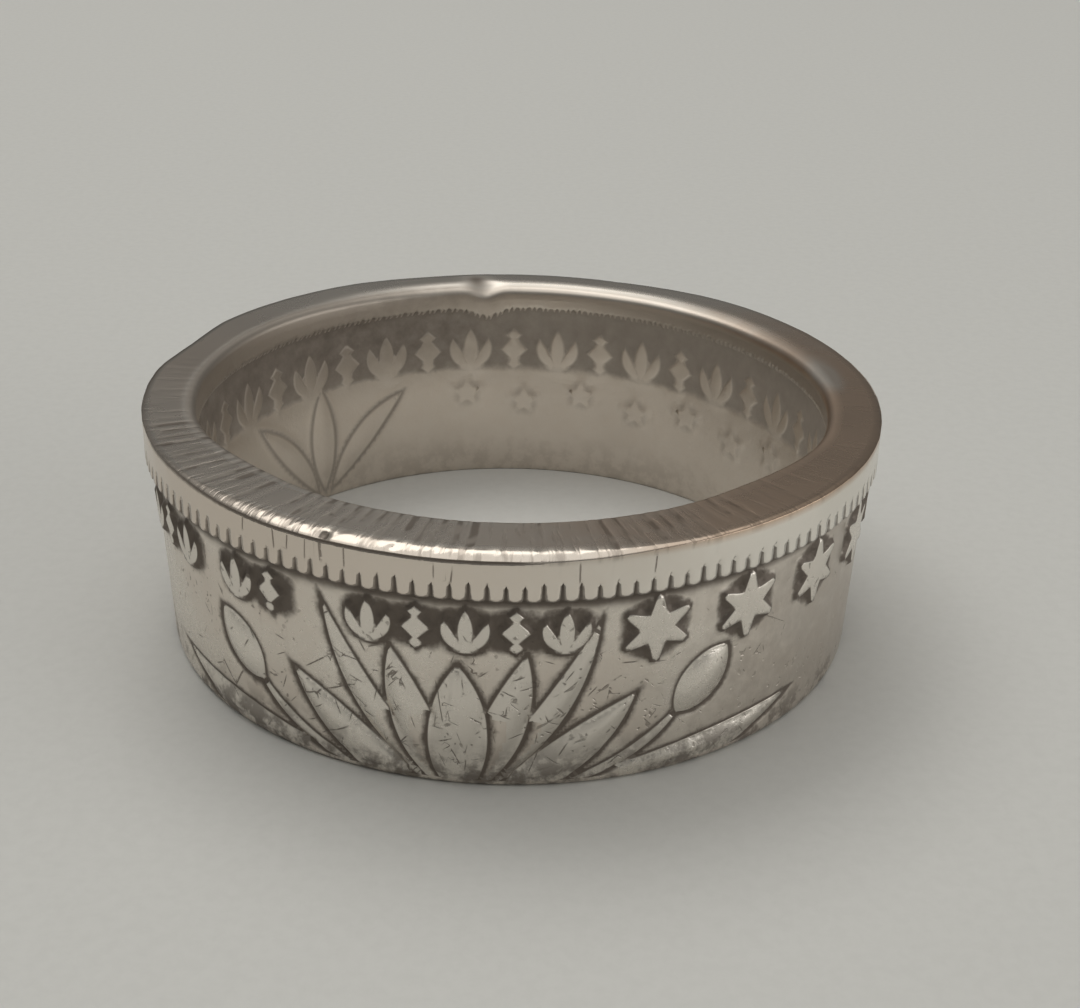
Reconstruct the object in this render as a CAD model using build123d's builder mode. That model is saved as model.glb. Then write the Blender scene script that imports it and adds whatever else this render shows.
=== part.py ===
"""A coin ring: a finger ring folded from one struck silver coin, resting on its thin lower edge."""
from build123d import *
from math import cos, degrees, hypot, radians, sin
from typing import NamedTuple
import os

os.makedirs("parts", exist_ok=True)

# Wall of the ring. Heights run up from the thin edge that it rests on, radii out from its axis.
ring_height = 8.13
bore_radius = 10.7
rim_width = 1.8
wall_lean = 0.29
foot_rounding = 0.21
foot_round_height = 0.26
foot_ease = 0.1

# Raised rims. The outer one carries the teeth, the inner one is what a finger touches first.
outer_rim_step = 0.26
outer_rim_height = 1.45
inner_rim_step = 0.16
inner_rim_height = 1.0
low_bore_step = 0.08
rim_slope_height = 0.17
outer_bevel_width = 0.44
outer_bevel_drop = 0.27
inner_bevel = 0.26

# Teeth under the rim, parted by narrow slits.
tooth_count = 147
slit_width = 0.15
slit_depth = 0.2
slit_height = 0.6

# How far each layer of ornament stands out of the field, and how deep it is rooted in the wall.
low_relief = 0.15
middle_relief = 0.19
high_relief = 0.23
inner_relief = 0.1
root_depth = 0.12
relief_foot_gap = 0.02

# Six-pointed stars outside. Angles run from the front, towards the right.
star_radius = 1.12
star_valley_radius = 0.48
star_pitch = 15.0
star_drop = 2.8
right_star_angle = 20.4
right_star_count = 7
left_star_angle = -110.4
left_star_count = 6

# Small five-pointed stars inside, which step up and down.
small_star_radius = 0.56
small_star_valley_radius = 0.25
small_star_pitch = 12.5
small_star_angle = 190.2
small_star_count = 7
small_star_drop = 4.82
small_star_step = 0.2

# Border of palmettes and lozenges, outside in groups and inside in one long run.
border_height = 1.44
border_drop = 2.58
border_pitch = 6.8
inner_border_height = 1.66
inner_border_drop = 2.75
inner_border_pitch = 9.4
inner_border_angle = 57.8
inner_border_count = 27

# Water blossom outside and sheaf of reeds inside, which both rise from the lower edge.
blossom_angle = -7.25
blossom_height = 6.0
reed_angle = 222.0
reed_height = 4.4

# Wear: a corner of the rim that is rubbed down, and a knock in the inner top edge.
rubbed_angle = -108.0
rubbed_depth = 0.3
rubbed_height = 0.7
knock_angle = 185.0
knock_inset = 0.1
knock_radius = 1.0
knock_depth = 0.25


class Group(NamedTuple):
    """A run of figures: the angle of its first one, the angle from each to the next, how many."""

    angle: float
    pitch: float
    count: int


class Leaf(NamedTuple):
    """A leaf as shares of its bunch's height: out to the side, up, and how far its sides arch."""

    foot_out: float
    foot_up: float
    tip_out: float
    tip_up: float
    inner_arch: float
    outer_arch: float


class Lozenge(NamedTuple):
    """A lozenge as shares of its figure's height: how far up its middle is, its height and width."""

    middle: float
    tall: float
    wide: float


border_groups = [
    Group(-90.0, border_pitch, 2),
    Group(-69.0, border_pitch, 3),
    Group(-42.4, border_pitch, 2),
    Group(-19.6, border_pitch, 5),
]
star_groups = [
    Group(right_star_angle, star_pitch, right_star_count),
    Group(left_star_angle, -star_pitch, left_star_count),
]

# One border figure of each kind, drawn round its middle
palmette_centre = Leaf(0.00, -0.50, 0.00, 0.50, 0.16, 0.16)
palmette_side = Leaf(0.02, -0.46, 0.44, 0.26, 0.02, 0.24)
palmette_heel = Leaf(-0.30, -0.44, 0.30, -0.44, 0.08, 0.08)
lozenges = [
    Lozenge(0.36, 0.30, 0.34),
    Lozenge(0.00, 0.62, 0.62),
    Lozenge(-0.36, 0.30, 0.34),
]

# The blossom from its outside in. The first three rows are a long leaf that lies along the edge,
# a stem and the stem's bud, the others are petals. Each has a twin on the other side.
low_leaves = [
    Leaf(0.50, 0.00, 1.92, 0.20, 0.06, 0.12),
    Leaf(0.52, 0.02, 1.22, 0.46, -0.05, 0.11),
    Leaf(1.14, 0.34, 1.42, 0.68, 0.13, 0.13),
    Leaf(0.16, -0.08, 0.90, 0.52, 0.07, 0.15),
    Leaf(0.00, -0.10, 0.70, 0.97, -0.02, 0.17),
]
middle_leaves = [
    Leaf(0.00, -0.10, 0.34, 0.79, 0.06, 0.16),
]
centre_leaf = Leaf(0.00, -0.12, 0.00, 0.72, 0.15, 0.15)
reeds = [
    Leaf(0.00, 0.10, -0.72, 0.86, 0.06, 0.14),
    Leaf(0.10, 0.10, 0.10, 1.04, 0.12, 0.12),
    Leaf(0.20, 0.10, 0.84, 0.90, 0.14, 0.04),
]

rim_radius = bore_radius + rim_width
field_radius = rim_radius - outer_rim_step
low_wall_radius = field_radius - wall_lean
foot_radius = low_wall_radius - foot_rounding
inner_field_radius = bore_radius + inner_rim_step
low_bore_radius = bore_radius + low_bore_step
rim_foot = ring_height - outer_rim_height
field_top = rim_foot - rim_slope_height
inner_rim_foot = ring_height - inner_rim_height
inner_field_top = inner_rim_foot - rim_slope_height
relief_foot = foot_round_height + relief_foot_gap
outer_canvas = field_radius + high_relief
outer_reach = outer_canvas - low_wall_radius + root_depth
inner_canvas = bore_radius - inner_relief
inner_reach = inner_field_radius - inner_canvas + root_depth


def outside_radius(height):
    """Radius of the plain outer field at a height: the wall leans in towards the foot."""
    share = (height - foot_round_height) / (field_top - foot_round_height)
    return low_wall_radius + (field_radius - low_wall_radius) * share


def inside_radius(height):
    """Radius of the plain inner field at a height."""
    share = (height - foot_ease) / (inner_field_top - foot_ease)
    return low_bore_radius + (inner_field_radius - low_bore_radius) * share


def wall_plane(angle, radius, height=0.0):
    """Upright plane at an angle from the front and at a height, which faces away from the axis."""
    across = Vector(cos(radians(angle)), sin(radians(angle)), 0)
    out = Vector(sin(radians(angle)), -cos(radians(angle)), 0)
    return Plane(origin=out * radius + Vector(0, 0, height), x_dir=across, z_dir=out)


def pointed_leaf(foot, tip, left, right):
    """A leaf from foot to tip, whose two sides are arcs that arch by left and right."""
    length = hypot(tip[0] - foot[0], tip[1] - foot[1])
    across = ((foot[1] - tip[1]) / length, (tip[0] - foot[0]) / length)
    middle = ((foot[0] + tip[0]) / 2, (foot[1] + tip[1]) / 2)
    left_middle = (middle[0] + across[0] * left, middle[1] + across[1] * left)
    right_middle = (middle[0] - across[0] * right, middle[1] - across[1] * right)
    with BuildSketch() as figure:
        with BuildLine():
            ThreePointArc(foot, left_middle, tip)
            ThreePointArc(tip, right_middle, foot)
        make_face()
    return figure.sketch


def star(radius, valley_radius, points):
    """A star with one point up, round the origin of its sketch."""
    corners = []
    for step in range(2 * points):
        reach = valley_radius if step % 2 else radius
        turn = radians(90 + step * 180 / points)
        corners.append((reach * cos(turn), reach * sin(turn)))
    with BuildSketch() as figure:
        with BuildLine():
            Polyline(*corners, close=True)
        make_face()
    return figure.sketch


def leaf_shape(row, side, size, shift=0.0):
    """The leaf of a row at its bunch's size, turned to one side, with its origin shifted along."""
    foot = (side * (row.foot_out - shift) * size, row.foot_up * size)
    tip = (side * (row.tip_out - shift) * size, row.tip_up * size)
    arches = (row.inner_arch * size, row.outer_arch * size)
    left, right = arches if side > 0 else arches[::-1]
    return pointed_leaf(foot, tip, left, right)


def palmette(size):
    """A three-leaved palmette on a short heel, round the origin of its sketch."""
    with BuildSketch() as figure:
        add(leaf_shape(palmette_centre, 1, size))
        for side in (-1, 1):
            add(leaf_shape(palmette_side, side, size))
        add(leaf_shape(palmette_heel, 1, size))
    return figure.sketch


def lozenge_stack(size):
    """A lozenge between two small ones, round the origin of its sketch."""
    with BuildSketch() as figure:
        for row in lozenges:
            half_tall = size * row.tall / 2
            half_wide = size * row.wide / 2
            with Locations((0, size * row.middle)):
                Polygon((0, half_tall), (-half_wide, 0), (0, -half_tall), (half_wide, 0), align=None)
    return figure.sketch


def border_run(group, radius, height, size):
    """The planes and shapes of a run of border figures: palmettes and lozenges by turns."""
    shapes = (palmette(size), lozenge_stack(size))
    return [
        (wall_plane(group.angle + place * group.pitch, radius, height), shapes[place % 2])
        for place in range(group.count)
    ]


def bunch(rows, sides, angle, size, radius, canvas):
    """The planes and shapes of a bunch's leaves, each drawn where the wall faces it squarely."""
    drawn = []
    for row in rows:
        for side in sides:
            middle = (row.foot_out + row.tip_out) / 2
            leaf_angle = angle + degrees(side * middle * size / radius)
            drawn.append((wall_plane(leaf_angle, canvas), leaf_shape(row, side, size, middle)))
    return drawn


def turned_skin(inner_low, inner_high, outer_low, outer_high, high):
    """A thin turned skin of the wall: its radii at the foot and at the top, and its top height."""
    with BuildPart() as skin:
        with BuildSketch(Plane.XZ):
            with BuildLine():
                Polyline(
                    (inner_low, relief_foot),
                    (inner_high, high),
                    (outer_high, high),
                    (outer_low, relief_foot),
                    close=True,
                )
            make_face()
        revolve(axis=Axis.Z)
    return skin.part


def outer_skin(relief):
    """What one layer of ornament fills: from its roots in the wall out to its relief."""
    low, high = outside_radius(relief_foot), outside_radius(field_top)
    return turned_skin(low - root_depth, high - root_depth, low + relief, high + relief, field_top)


def inner_skin(relief):
    """What the ornament inside fills, which is shallower near the foot."""
    low, high = inside_radius(relief_foot), inside_radius(inner_field_top)
    roots = (low + root_depth, high + root_depth)
    return turned_skin(low - relief / 2, high - relief, *roots, inner_field_top)


def raise_figures(drawn, reach, skin):
    """Carry each drawn figure through the wall and keep what lies in the skin."""
    with BuildPart() as raised:
        for plane, shape in drawn:
            with BuildSketch(plane):
                add(shape)
        extrude(amount=reach)
        add(skin, mode=Mode.INTERSECT)
    return raised.part


# Figures of the three outer layers and of the inner one
low_drawn = []
for group in border_groups:
    low_drawn += border_run(group, outer_canvas, ring_height - border_drop, border_height)
for group in star_groups:
    for place in range(group.count):
        star_angle = group.angle + place * group.pitch
        star_plane = wall_plane(star_angle, outer_canvas, ring_height - star_drop)
        low_drawn.append((star_plane, star(star_radius, star_valley_radius, 6)))
low_drawn += bunch(low_leaves, (-1, 1), blossom_angle, blossom_height, field_radius, outer_canvas)
middle_drawn = bunch(middle_leaves, (-1, 1), blossom_angle, blossom_height, field_radius, outer_canvas)
high_drawn = bunch([centre_leaf], (1,), blossom_angle, blossom_height, field_radius, outer_canvas)

inner_run = Group(inner_border_angle, inner_border_pitch, inner_border_count)
inner_drawn = border_run(inner_run, inner_canvas, ring_height - inner_border_drop, inner_border_height)
for place in range(small_star_count):
    star_angle = small_star_angle - place * small_star_pitch
    drop = small_star_drop + (small_star_step if place % 2 else -small_star_step)
    star_plane = wall_plane(star_angle, inner_canvas, ring_height - drop)
    inner_drawn.append((star_plane, star(small_star_radius, small_star_valley_radius, 5)))
inner_drawn += bunch(reeds, (1,), reed_angle, reed_height, inner_field_radius, inner_canvas)

raised_layers = [
    raise_figures(low_drawn, -outer_reach, outer_skin(low_relief)),
    raise_figures(middle_drawn, -outer_reach, outer_skin(middle_relief)),
    raise_figures(high_drawn, -outer_reach, outer_skin(high_relief)),
    raise_figures(inner_drawn, inner_reach, inner_skin(inner_relief)),
]

# The folded coin itself, with its ornament raised on it, its slits cut and its wear taken off
with BuildPart() as coin_ring:
    with BuildSketch(Plane.XZ):
        with BuildLine():
            Polyline(
                (low_bore_radius + foot_ease, 0),
                (foot_radius, 0),
                (low_wall_radius, foot_round_height),
                (field_radius, field_top),
                (rim_radius, rim_foot),
                (rim_radius, ring_height - outer_bevel_drop),
                (rim_radius - outer_bevel_width, ring_height),
                (bore_radius + inner_bevel, ring_height),
                (bore_radius, ring_height - inner_bevel),
                (bore_radius, inner_rim_foot),
                (inner_field_radius, inner_field_top),
                (low_bore_radius, foot_ease),
                close=True,
            )
        make_face()
    revolve(axis=Axis.Z)
    add(raised_layers)
    with Locations((0, 0, rim_foot + slit_height / 2)):
        with PolarLocations(rim_radius, tooth_count):
            Box(2 * slit_depth, slit_width, slit_height, mode=Mode.SUBTRACT)
    rubbed_out = wall_plane(rubbed_angle, rim_radius).z_dir
    rubbed_along = rubbed_out.cross(Vector(0, 0, 1))
    with BuildSketch(Plane(origin=(0, 0, ring_height), x_dir=rubbed_out, z_dir=rubbed_along)):
        Polygon(
            (rim_radius - rubbed_depth, 0),
            (rim_radius, -rubbed_height),
            (2 * rim_radius, 0),
            align=None,
        )
    extrude(amount=rim_radius / 2, both=True, mode=Mode.SUBTRACT)
    knock_height = ring_height + knock_radius - knock_depth
    with Locations(wall_plane(knock_angle, bore_radius + knock_inset, knock_height).origin):
        Sphere(knock_radius, mode=Mode.SUBTRACT)

coin_ring.part.label = "coin_ring"
export_step(coin_ring.part, "parts/coin_ring.step")
print("coin_ring volume", round(coin_ring.part.volume, 2), "cubic mm")
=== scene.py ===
# %% [markdown]
# # A worn silver coin ring
# The ring is one struck silver coin, folded over until its rim stands on top. The packed model gives
# its true size and place. This lesson dresses it: one closed mesh carries every raised figure, slit
# and dent as real geometry, and one silver material carries the tarnish, the scratches and the polish.
# Some shade and light is painted into the silver's colour as well.

# %% Load the packed ring
import math
from typing import NamedTuple

import bpy
import numpy as np
from mathutils import Matrix, Vector


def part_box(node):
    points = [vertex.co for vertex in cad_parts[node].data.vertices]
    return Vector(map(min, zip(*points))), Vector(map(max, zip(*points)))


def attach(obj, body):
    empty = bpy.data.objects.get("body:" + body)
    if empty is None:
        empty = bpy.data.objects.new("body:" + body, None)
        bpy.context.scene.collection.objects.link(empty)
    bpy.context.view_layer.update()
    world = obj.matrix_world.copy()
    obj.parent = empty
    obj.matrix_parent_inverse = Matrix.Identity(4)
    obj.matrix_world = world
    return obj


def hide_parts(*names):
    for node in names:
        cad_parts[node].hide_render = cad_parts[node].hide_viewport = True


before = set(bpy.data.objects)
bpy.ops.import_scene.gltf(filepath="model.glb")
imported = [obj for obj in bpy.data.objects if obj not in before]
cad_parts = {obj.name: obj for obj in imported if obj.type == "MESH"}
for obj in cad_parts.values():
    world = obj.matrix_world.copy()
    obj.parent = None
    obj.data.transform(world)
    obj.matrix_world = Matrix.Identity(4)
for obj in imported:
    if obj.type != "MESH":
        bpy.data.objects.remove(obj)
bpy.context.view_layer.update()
MM = 0.001

# %% [markdown]
# ## Sizes
# A jeweller would measure the ring with a caliper. Here the outside radius and the height come from
# the packed model, and the steps, slopes and figures inside that envelope repeat its named sizes.
# All the working numbers are millimetres and degrees. An angle of 0 is the front of the ring, and
# angles grow towards its right.

# %% Sizes of the wall
ring_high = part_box("coin_ring")[1]
HEIGHT = ring_high.z / MM
RIM_RADIUS = ring_high.x / MM
BORE_RADIUS = 10.7
RIM_STEP = 0.26
RIM_HEIGHT = 1.45
WALL_LEAN = 0.29
FOOT_ROUNDING = 0.21
FOOT_ROUND_HEIGHT = 0.26
FOOT_EASE = 0.04
INNER_STEP = 0.16
INNER_RIM_HEIGHT = 1.0
LOW_BORE_STEP = 0.08
SLOPE_HEIGHT = 0.17
INNER_BEVEL = 0.26

FIELD_RADIUS = RIM_RADIUS - RIM_STEP
LOW_WALL_RADIUS = FIELD_RADIUS - WALL_LEAN
FOOT_RADIUS = LOW_WALL_RADIUS - FOOT_ROUNDING
INNER_FIELD_RADIUS = BORE_RADIUS + INNER_STEP
LOW_BORE_RADIUS = BORE_RADIUS + LOW_BORE_STEP
RIM_FOOT = HEIGHT - RIM_HEIGHT
FIELD_TOP = RIM_FOOT - SLOPE_HEIGHT
INNER_RIM_FOOT = HEIGHT - INNER_RIM_HEIGHT
INNER_FIELD_TOP = INNER_RIM_FOOT - SLOPE_HEIGHT
print("outside radius", round(RIM_RADIUS, 3), "height", round(HEIGHT, 3))

# %% [markdown]
# ## The bare wall as a grid
# The ring could be turned with the Screw modifier and then sculpted. A numpy grid is chosen instead,
# because each of its points knows its angle and its height, so any figure can be pressed into it by
# a formula. Columns run round the ring, five to each rim tooth, and rows run once round the wall's
# section: up the outside, over the top, down the inside and back along the foot.

# %% Columns
TEETH = 147
TOOTH_PITCH = 360 / TEETH
COLUMN_SHARES = (-0.2, 0.0, 0.2, 0.4, 0.6)
FIRST_COLUMN_ANGLE = 90
turns = [(tooth + share) * TOOTH_PITCH for tooth in range(TEETH) for share in COLUMN_SHARES]
columns = np.array(turns) + FIRST_COLUMN_ANGLE
print("columns", len(columns))


# %% Lines that the rows follow
def outside_radius(height):
    """Radius of the plain outer field at a height."""
    return LOW_WALL_RADIUS + WALL_LEAN * (height - FOOT_ROUND_HEIGHT) / (FIELD_TOP - FOOT_ROUND_HEIGHT)


def inside_radius(height):
    """Radius of the plain inner field at a height."""
    lean = INNER_STEP - LOW_BORE_STEP
    return LOW_BORE_RADIUS + lean * (height - FOOT_EASE) / (INNER_FIELD_TOP - FOOT_EASE)


def run(start, end, count):
    """Rows from start up to, but not at, end."""
    first = np.array(start)
    return [tuple(first + (np.array(end) - first) * k / count) for k in range(count)]


def quarter(centre, size, first_angle, last_angle, count):
    """Rows round a rounded corner of the section, whose two half sizes may differ."""
    turns = np.radians(np.linspace(first_angle, last_angle, count))
    return [(centre[0] + size[0] * math.cos(t), centre[1] + size[1] * math.sin(t)) for t in turns]


print("wall at half height:", round(outside_radius(HEIGHT / 2) - inside_radius(HEIGHT / 2), 2), "mm thick")

# %% Rows up the outside
OUTER_ROWS = 58
SLIT_ROWS = 7
SLIT_HEIGHT = 0.6
SLOPE_OUT = 0.55
SLOPE_UP = 0.45
section = []
zones = []


def add_rows(zone, rows):
    """Adds rows to the section, and notes which zone they belong to."""
    section.extend(rows)
    zones.extend([zone] * len(rows))


above_slits = RIM_FOOT + SLIT_HEIGHT + 0.1
add_rows("outer", [(outside_radius(h), h) for h in np.linspace(FOOT_ROUND_HEIGHT, FIELD_TOP, OUTER_ROWS)])
add_rows("slope", [(FIELD_RADIUS + RIM_STEP * SLOPE_OUT, FIELD_TOP + SLOPE_HEIGHT * SLOPE_UP)])
add_rows("rim", run((RIM_RADIUS, RIM_FOOT), (RIM_RADIUS, above_slits), SLIT_ROWS))
print("rows up the outside:", len(section))

# %% Rows over the top
# Each row of the bevel lies so far in from the rim and so far down from the top.
BEVEL_SHAPE = (
    (0.0, 0.195), (0.004, 0.172), (0.018, 0.154), (0.06, 0.127),
    (0.12, 0.088), (0.18, 0.051), (0.24, 0.022), (0.31, 0.005), (0.38, 0.0),
)
ROWS_ABOVE_SLITS = 4
TOP_STEPS = 6
INNER_BEVEL_ROWS = 5
rim_top = HEIGHT - BEVEL_SHAPE[0][1]
top_edge = RIM_RADIUS - BEVEL_SHAPE[-1][0]
inner_edge = BORE_RADIUS + INNER_BEVEL
inner_corner = (inner_edge, HEIGHT - INNER_BEVEL)
add_rows("rim", run((RIM_RADIUS, above_slits), (RIM_RADIUS, rim_top), ROWS_ABOVE_SLITS))
add_rows("bevel", [(RIM_RADIUS - inset, HEIGHT - drop) for inset, drop in BEVEL_SHAPE])
add_rows("top", run((top_edge, HEIGHT), (inner_edge, HEIGHT), TOP_STEPS)[1:])
add_rows("inner_bevel", quarter(inner_corner, (INNER_BEVEL, INNER_BEVEL), 90, 180, INNER_BEVEL_ROWS))
print("rows up to the inner edge:", len(section))

# %% Rows down the inside and along the foot
BORE_RISES = (0.5, 0.24, 0.12, 0.0)
HEAD_LEVEL = 6.6
INNER_ORNAMENT = (6.3, 2.55)
INNER_ORNAMENT_ROWS = 25
INNER_PLAIN = 2.32
INNER_PLAIN_ROWS = 10
ornament_levels = np.linspace(*INNER_ORNAMENT, INNER_ORNAMENT_ROWS)
plain_levels = np.linspace(INNER_PLAIN, FOOT_EASE, INNER_PLAIN_ROWS)
inner_levels = np.concatenate([(INNER_FIELD_TOP, HEAD_LEVEL), ornament_levels, plain_levels])
add_rows("bore", [(BORE_RADIUS, INNER_RIM_FOOT + rise) for rise in BORE_RISES])
add_rows("inner", [(inside_radius(level), level) for level in inner_levels])
add_rows("foot", [(LOW_BORE_RADIUS + FOOT_EASE, 0.0), (FOOT_RADIUS - 0.1, 0.0)])
foot_corner = (FOOT_RADIUS, FOOT_ROUND_HEIGHT)
add_rows("foot", quarter(foot_corner, (FOOT_ROUNDING, FOOT_ROUND_HEIGHT), 270, 345, 4))
section = np.array(section)
zones = np.array(zones)
print("rows", len(section), "triangles", 2 * len(section) * len(columns))

# %% [markdown]
# ## How the figures are drawn
# On the real coin a die pressed every figure at once. In Blender they could be separate pieces joined
# by a Boolean modifier, but the joins would be hard and the wall would carry thousands of slivers.
# Here each figure is a distance formula: how far a point of the wall lies from its outline, below
# zero inside. One field of distances gives the raised shape, the groove round it and the dirt in it.


# %% Distance to a leaf
def arc_side(along, away, half_length, arch):
    """Distance to one curved side of a leaf, below zero on the leaf's side of it."""
    depth = max(abs(arch), 0.001)
    radius = (half_length ** 2 + depth ** 2) / (2 * depth)
    if arch > 0:
        return np.hypot(along, away - depth + radius) - radius
    return radius - np.hypot(along, away + depth - radius)


def leaf_distances(across, up, foot, tip, left, right):
    """Distance to a leaf's outline, and distance to the rib along its middle."""
    length = math.dist(foot, tip)
    ahead = ((tip[0] - foot[0]) / length, (tip[1] - foot[1]) / length)
    middle = ((foot[0] + tip[0]) / 2, (foot[1] + tip[1]) / 2)
    x = across - middle[0]
    y = up - middle[1]
    along = x * ahead[0] + y * ahead[1]
    away = y * ahead[0] - x * ahead[1]
    left_side = arc_side(along, away, length / 2, left)
    right_side = arc_side(along, -away, length / 2, right)
    return np.maximum(left_side, right_side), np.abs(left_side - right_side) / 2


leaf_probe = leaf_distances(np.array([0.0, 1.0]), np.array([0.5, 0.5]), (0, 0), (0, 1), 0.2, 0.2)[0]
print("middle and outside of a leaf:", leaf_probe.round(3))


# %% Distance to a star and to a lozenge
def star_distances(across, up, radius, valley_radius, points):
    """Distance to a star's outline, and to the ridges that run out to its points."""
    sector = math.pi / points
    turn = np.arctan2(across, up)
    folded = np.abs((turn + sector) % (2 * sector) - sector)
    reach = np.hypot(across, up)
    x = reach * np.cos(folded)
    y = reach * np.sin(folded)
    edge_x = valley_radius * math.cos(sector) - radius
    edge_y = valley_radius * math.sin(sector)
    length_squared = edge_x ** 2 + edge_y ** 2
    share = np.clip(((x - radius) * edge_x + y * edge_y) / length_squared, 0, 1)
    gap = np.hypot(x - radius - share * edge_x, y - share * edge_y)
    outside = (x - radius) * edge_y - y * edge_x > 0
    return np.where(outside, gap, -gap), y


def lozenge_distances(across, up, half_wide, half_tall):
    """Distance to a lozenge's outline, and to its middle."""
    flat = np.abs(across) * half_tall + np.abs(up) * half_wide - half_wide * half_tall
    return flat / math.hypot(half_wide, half_tall), np.hypot(across, up)


star_probe = star_distances(np.array([0.0, 0.0]), np.array([0.0, 1.2]), 1.0, 0.5, 6)[0]
print("middle and outside of a star:", star_probe.round(3))

# %% [markdown]
# ## The layout of the ornament
# The rows repeat the packed model's own table, so the dressed ring and the solid carry the same
# figures in the same places. A blossom opens from the lower edge at the front. A border of palmettes
# and lozenges runs above it, and six-pointed stars stand to both sides. Inside, a longer border runs
# round the back, over small stars and a sheaf of reeds. Sizes in a table are shares of the height of
# the bunch or of the border that they belong to.


# %% Tables of leaves and lozenges
class Leaf(NamedTuple):
    """A leaf: its foot and its tip, outwards and upwards, and how far its two sides arch."""

    foot_out: float
    foot_up: float
    tip_out: float
    tip_up: float
    left_arch: float
    right_arch: float


class Lozenge(NamedTuple):
    """One lozenge of a stack: how far up its middle lies, how tall it is and how wide."""

    middle: float
    tall: float
    wide: float


PALMETTE_MIDDLE = Leaf(0.00, -0.50, 0.00, 0.50, 0.16, 0.16)
PALMETTE_SIDE = Leaf(0.02, -0.46, 0.44, 0.26, 0.02, 0.24)
PALMETTE_HEEL = Leaf(-0.30, -0.44, 0.30, -0.44, 0.08, 0.08)
LOZENGES = [Lozenge(0.36, 0.30, 0.34), Lozenge(0.00, 0.62, 0.62), Lozenge(-0.36, 0.30, 0.34)]
LOW_LEAVES = [
    Leaf(0.50, 0.00, 1.92, 0.20, 0.06, 0.12),
    Leaf(0.52, 0.02, 1.22, 0.46, -0.05, 0.11),
    Leaf(1.14, 0.34, 1.42, 0.68, 0.13, 0.13),
    Leaf(0.16, -0.08, 0.90, 0.52, 0.07, 0.15),
    Leaf(0.00, -0.10, 0.70, 0.97, -0.02, 0.17),
]
MIDDLE_LEAVES = [Leaf(0.00, -0.10, 0.34, 0.79, 0.06, 0.16)]
CENTRE_LEAVES = [Leaf(0.00, -0.12, 0.00, 0.72, 0.15, 0.15)]
REEDS = [
    Leaf(0.00, 0.10, -0.72, 0.86, 0.06, 0.14),
    Leaf(0.10, 0.10, 0.10, 1.04, 0.12, 0.12),
    Leaf(0.20, 0.10, 0.84, 0.90, 0.14, 0.04),
]
print("leaves in the blossom:", 2 * len(LOW_LEAVES + MIDDLE_LEAVES) + len(CENTRE_LEAVES))


# %% One figure of each kind
def leaf_figure(leaf, side, size, shift=0.0):
    """The distance function of one leaf, on the left (-1) or right (1) side of its bunch."""
    foot = (side * (leaf.foot_out - shift) * size, leaf.foot_up * size)
    tip = (side * (leaf.tip_out - shift) * size, leaf.tip_up * size)
    arches = (leaf.left_arch * size, leaf.right_arch * size)
    left, right = arches if side > 0 else arches[::-1]
    return lambda across, up: leaf_distances(across, up, foot, tip, left, right)


def together(parts):
    """The distance function of several shapes that have grown into one."""
    def nearest(across, up):
        outlines, ribs = zip(*(part(across, up) for part in parts))
        nearest_part = np.argmin(outlines, axis=0)[None]
        rib = np.take_along_axis(np.array(ribs), nearest_part, axis=0)[0]
        return np.min(outlines, axis=0), rib
    return nearest


def palmette(size):
    """A three-leaved palmette on a short heel."""
    leaves = ((PALMETTE_MIDDLE, 1), (PALMETTE_SIDE, -1), (PALMETTE_SIDE, 1), (PALMETTE_HEEL, 1))
    return together([leaf_figure(leaf, side, size) for leaf, side in leaves])


def lozenge_figure(lozenge, size):
    """The distance function of one lozenge of the stack, at its own height."""
    half_tall = size * lozenge.tall / 2
    half_wide = size * lozenge.wide / 2
    return lambda across, up: lozenge_distances(across, up - size * lozenge.middle, half_wide, half_tall)


def lozenge_stack(size):
    """A lozenge between two small ones."""
    return together([lozenge_figure(lozenge, size) for lozenge in LOZENGES])


def star(radius, valley_radius, points, blunting):
    """A star with one point up and blunt points."""
    def blunted(across, up):
        outline, ridge = star_distances(across, up, radius - blunting, valley_radius - blunting, points)
        return outline - blunting, ridge
    return blunted


print("kinds of figure:", [kind.__name__ for kind in (leaf_figure, palmette, lozenge_stack, star)])


# %% How each kind stands in the wall
class Patch(NamedTuple):
    """A dirty patch: half its width and half its height, how far it reaches past them, its strength."""

    half_width: float
    half_height: float
    corner: float
    strength: float


class Relief(NamedTuple):
    """How a figure stands out of the wall, in mm, and the dirt round it.

    The edge stands so high, and the middle swells by so much more over the swell's width. The side
    rises over its own width inside the outline. Early is the share of the rise that lies outside the
    outline, over the outer width. A groove runs round the figure and a rib's crease down its middle.
    """

    edge: float
    swell: float
    swell_width: float
    side_width: float
    early: float
    outer_width: float = 0.13
    groove: float = 0.0
    rib: float = 0.0
    soot_width: float = 0.0
    patch: Patch = None


BORDER = Relief(0.12, 0.01, 0.20, 0.05, 1.0, groove=0.04, soot_width=0.20)
BORDER = BORDER._replace(patch=Patch(0.40, 0.28, 0.22, 0.74))
OUTER_STAR = BORDER._replace(swell_width=0.30, soot_width=0.15, patch=Patch(0.05, 0.05, 0.80, 0.78))
LOW_PETAL = Relief(0.06, 0.11, 0.90, 0.26, 0.0, groove=0.05, rib=0.02, soot_width=0.17)
MIDDLE_PETAL = LOW_PETAL._replace(edge=0.09)
CENTRE_PETAL = LOW_PETAL._replace(edge=0.12)
INNER_BORDER = Relief(0.03, 0.01, 0.20, 0.06, 1.0, outer_width=0.26)
SMALL_STAR = Relief(0.03, 0.005, 0.20, 0.06, 1.0, outer_width=0.24, patch=Patch(0.04, 0.12, 0.30, 0.40))
REED = Relief(0.04, 0.03, 0.70, 0.30, 0.9, outer_width=0.38, soot_width=0.18)
print("a petal's middle stands", round(LOW_PETAL.edge + LOW_PETAL.swell, 2), "mm out of the wall")


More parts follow.
